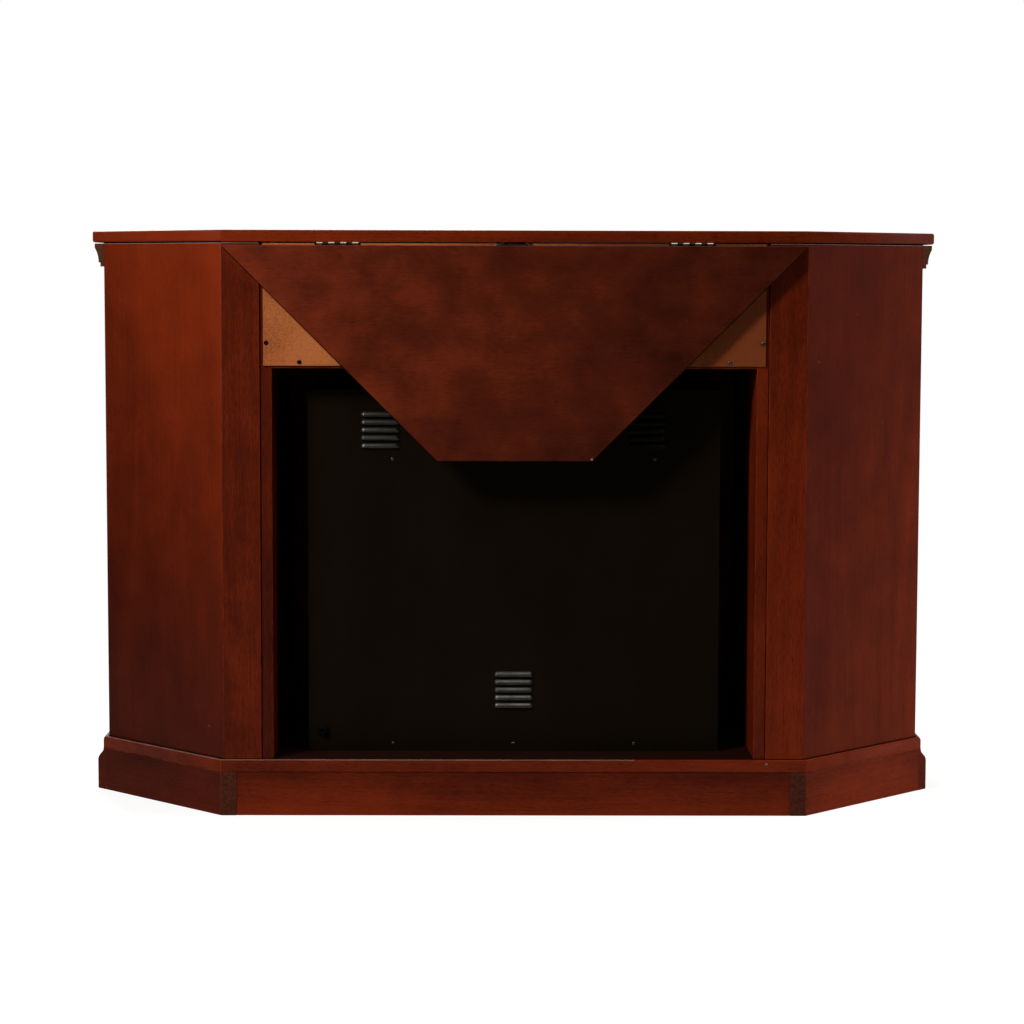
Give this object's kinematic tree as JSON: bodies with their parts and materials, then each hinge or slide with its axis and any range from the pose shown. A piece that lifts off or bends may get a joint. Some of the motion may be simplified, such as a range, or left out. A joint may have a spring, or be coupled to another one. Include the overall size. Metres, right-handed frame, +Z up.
{
  "type": "corner fireplace",
  "caption": "Low wooden cabinet with an electric firebox, side doors, cut back corners and a hinged drop leaf behind the top.",
  "frame": {"origin": "centre of the bounding box at floor level", "axes": "+Z up, the front with the firebox window and doors faces -Y, the cut corners and the drop leaf face +Y, +X to the right seen from the front"},
  "size_m": [1.2256, 0.4262, 0.8192],
  "materials": {
    "cherry_wood": "satin lacquer, vertical grain on upright boards",
    "leaf_wood": "satin lacquer, grain along the long edge",
    "hardboard": "raw hardboard, mat",
    "zinc_steel": "zinc plated",
    "black_steel": "semi-mat powder coat",
    "bronze": "dark antique",
    "white_plastic": "mat",
    "black_plastic": "mat",
    "red_plastic": "gloss",
    "clear_glass": "clear",
    "log_resin": "cast resin, mat",
    "ember_resin": "translucent resin, lit from below",
    "flame_acrylic": "frosted",
    "rotor_foil": "polished foil",
    "lamp_board": "mat",
    "galvanised_steel": "bare sheet",
    "heater_ceramic": "mat"
  },
  "bodies": {
    "cabinet": {"top_panel": "cherry_wood", "bottom_panel": "cherry_wood", "side_panel_l": "cherry_wood", "side_panel_r": "cherry_wood", "corner_panel_l": "cherry_wood", "corner_panel_r": "cherry_wood", "back_stile_l": "cherry_wood", "back_stile_r": "cherry_wood", "partition_l": "cherry_wood", "partition_r": "cherry_wood", "divider_shelf": "cherry_wood", "hardboard_back": "hardboard", "plinth_back_rail": "cherry_wood", "plinth_cross_rails": "cherry_wood", "corner_boards": "cherry_wood", "base_moulding_front": "cherry_wood", "base_moulding_sides": "cherry_wood", "crown_front": "cherry_wood", "crown_sides": "cherry_wood", "face_stiles": "cherry_wood", "face_rails": "cherry_wood", "firebox_trim": "cherry_wood", "cabinet_shelves": "cherry_wood", "shelf_pins": "zinc_steel", "rear_screws": "zinc_steel", "leaf_hinge_fixed": "zinc_steel", "bar_guides": "zinc_steel", "door_hinge_fixed": "bronze", "door_catches": "white_plastic", "firebox_shell": "black_steel", "firebox_back": "black_steel", "cord_gland": "black_plastic", "firebox_bezel": "black_steel", "firebox_glass": "clear_glass", "log_set": "log_resin", "ember_bed": "ember_resin", "flame_screen": "flame_acrylic", "rotor_bearings": "black_plastic", "lamp_bar": "lamp_board", "heater_case": "galvanised_steel", "heating_element": "heater_ceramic", "outlet_grille": "black_steel", "control_panel": "black_plastic"},
    "leaf": {"drop_leaf": "leaf_wood", "leaf_hinge_moving": "zinc_steel"},
    "support": {"support_bar": "black_steel"},
    "door_l": {"door_frame_l": "cherry_wood", "door_panel_l": "cherry_wood", "door_knob_l": "bronze", "door_metal_l": "bronze"},
    "door_r": {"door_frame_r": "cherry_wood", "door_panel_r": "cherry_wood", "door_knob_r": "bronze", "door_metal_r": "bronze"},
    "rocker": {"power_rocker": "red_plastic"},
    "heat_dial": {"heat_knob": "black_plastic"},
    "flame_dial": {"flame_knob": "black_plastic"},
    "rotor": {"flame_rotor": "rotor_foil"},
    "blower": {"blower_wheel": "galvanised_steel"}
  },
  "joints": [
    {"name": "leaf_hinge", "type": "hinge", "parent": "cabinet", "child": "leaf", "pos_m": [0, 0.1946, 0.8007], "axis": [1, 0, 0], "range_deg": [0, 90]},
    {"name": "support_slide", "type": "slide", "parent": "cabinet", "child": "support", "axis": [0, 1, 0], "range_m": [0, 0.2]},
    {"name": "door_hinge_left", "type": "hinge", "parent": "cabinet", "child": "door_l", "pos_m": [-0.561, -0.1895, 0.4], "axis": [0, 0, -1], "range_deg": [0, 110]},
    {"name": "door_hinge_right", "type": "hinge", "parent": "cabinet", "child": "door_r", "pos_m": [0.561, -0.1895, 0.4], "axis": [0, 0, 1], "range_deg": [0, 110]},
    {"name": "power_rocker_tilt", "type": "hinge", "parent": "cabinet", "child": "rocker", "pos_m": [0, -0.1681, 0.116], "axis": [1, 0, 0], "range_deg": [0, 14]},
    {"name": "heat_dial_turn", "type": "hinge", "parent": "cabinet", "child": "heat_dial", "pos_m": [0.055, -0.1711, 0.116], "axis": [0, -1, 0], "range_deg": [0, 270]},
    {"name": "flame_dial_turn", "type": "hinge", "parent": "cabinet", "child": "flame_dial", "pos_m": [-0.055, -0.1711, 0.116], "axis": [0, -1, 0], "range_deg": [0, 270]},
    {"name": "rotor_spin", "type": "hinge", "parent": "cabinet", "child": "rotor", "pos_m": [0, 0.0169, 0.1532], "axis": [1, 0, 0], "continuous": true},
    {"name": "blower_spin", "type": "hinge", "parent": "cabinet", "child": "blower", "pos_m": [0, -0.0971, 0.5547], "axis": [1, 0, 0], "continuous": true}
  ]
}
